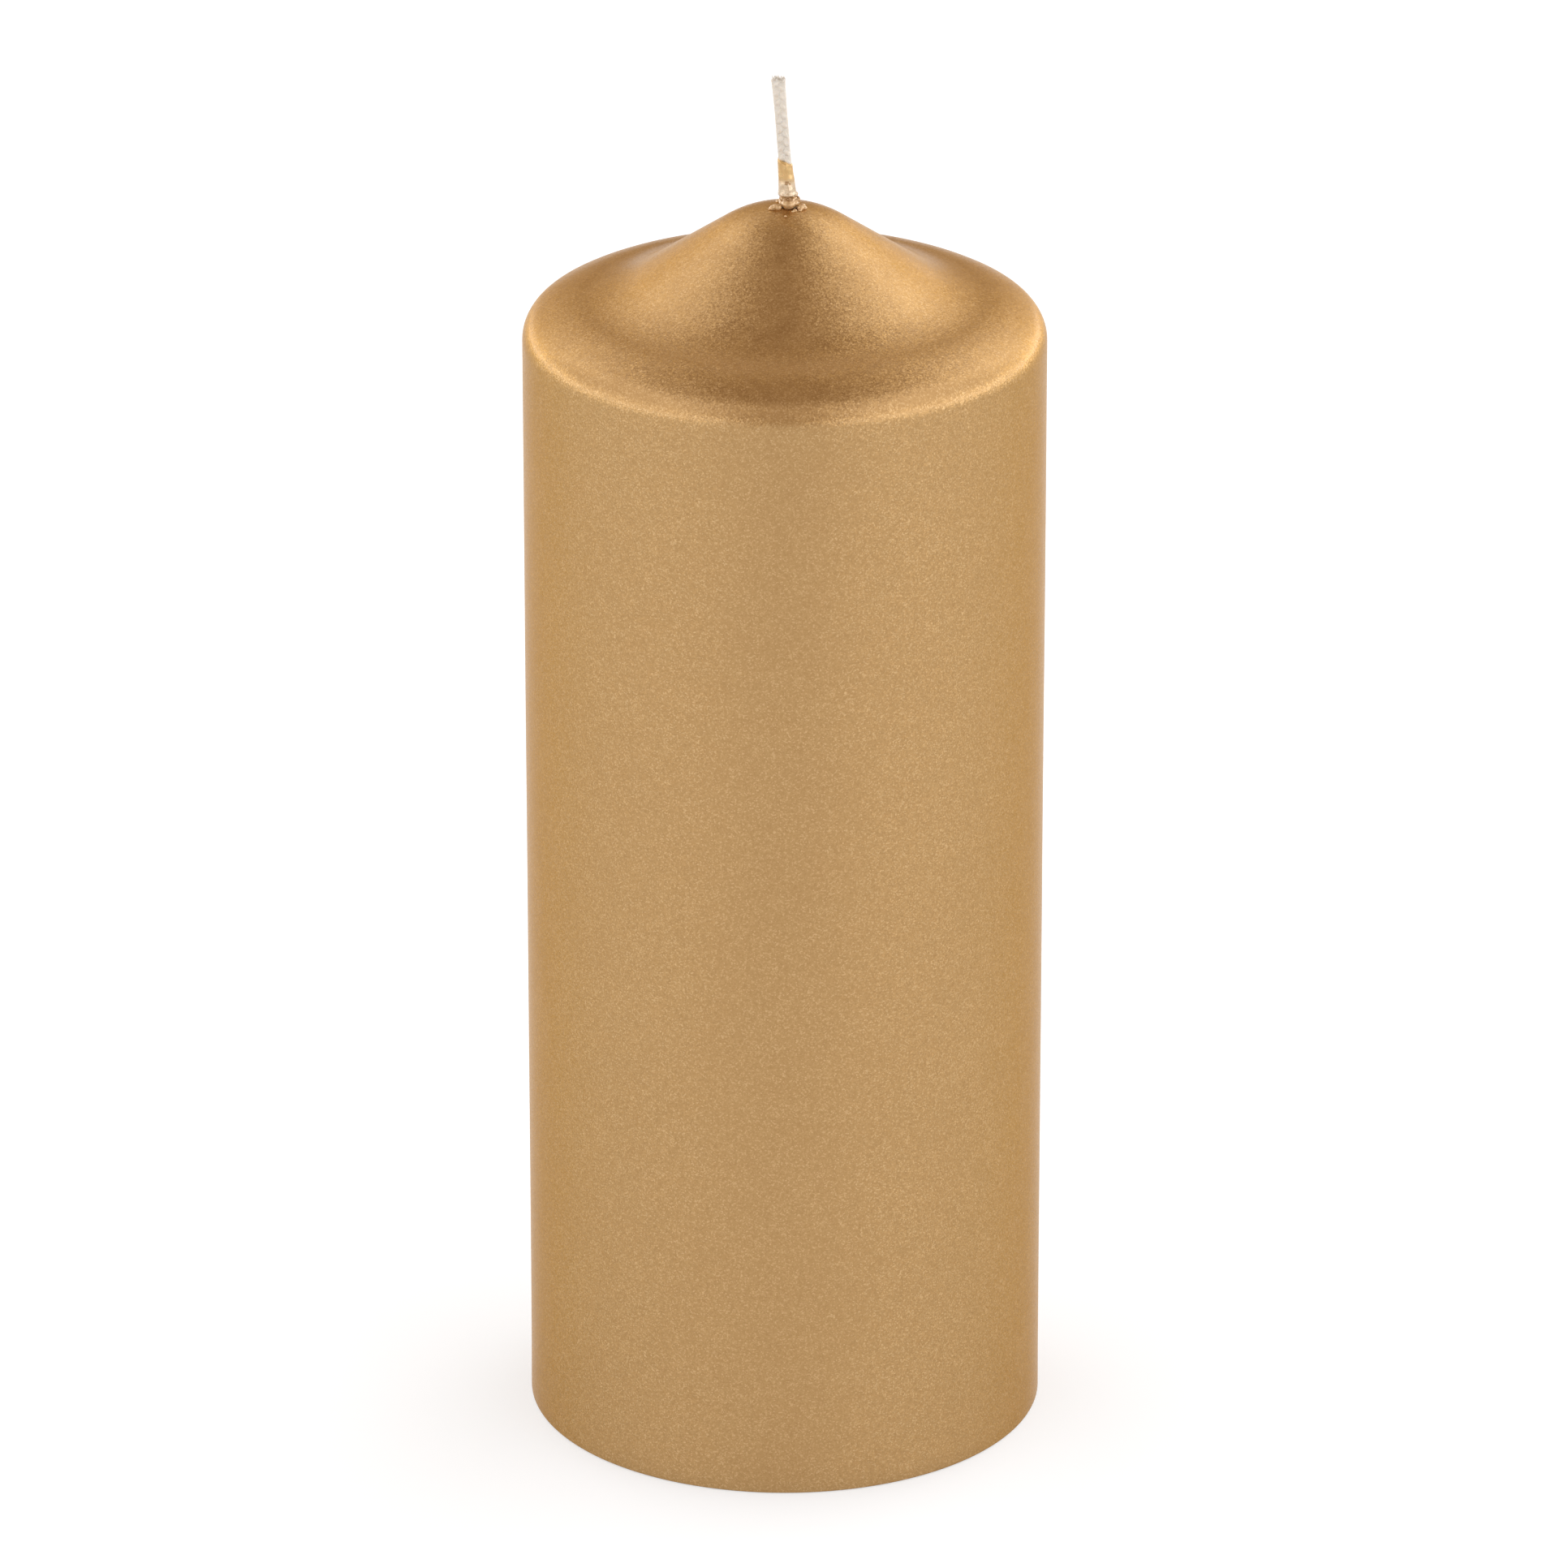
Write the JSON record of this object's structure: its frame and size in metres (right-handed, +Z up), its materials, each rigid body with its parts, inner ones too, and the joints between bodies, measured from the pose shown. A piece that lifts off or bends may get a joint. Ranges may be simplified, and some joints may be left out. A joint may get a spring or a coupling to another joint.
{
  "type": "pillar candle",
  "caption": "Metallic gold pillar candle with straight sides, a softly coned top and a short leaning wick dipped gold at its foot.",
  "frame": {"origin": "centre of the flat base, on the candle's axis, at the level it rests on", "axes": "+Z up the candle's axis towards the tip; the wick leans towards -X and the pictured side faces -Y"},
  "size_m": [0.06, 0.06, 0.1636],
  "materials": {
    "gold_lacquer": "satin",
    "overdip_wax": "satin",
    "core_wax": "matte",
    "primer_wax": "satin",
    "wick_cotton": "matte",
    "foot_lacquer": "gloss",
    "sustainer_steel": "satin"
  },
  "bodies": {
    "root": {"wax_core": "core_wax", "overdip_coat": "overdip_wax", "gold_lacquer_film": "gold_lacquer", "wick_primer_coat": "primer_wax", "wick": "wick_cotton", "wick_sustainer": "sustainer_steel", "wick_lacquer_sleeve": "foot_lacquer", "wick_foot_collar": "foot_lacquer", "wick_foot_drops": "foot_lacquer"}
  },
  "joints": []
}
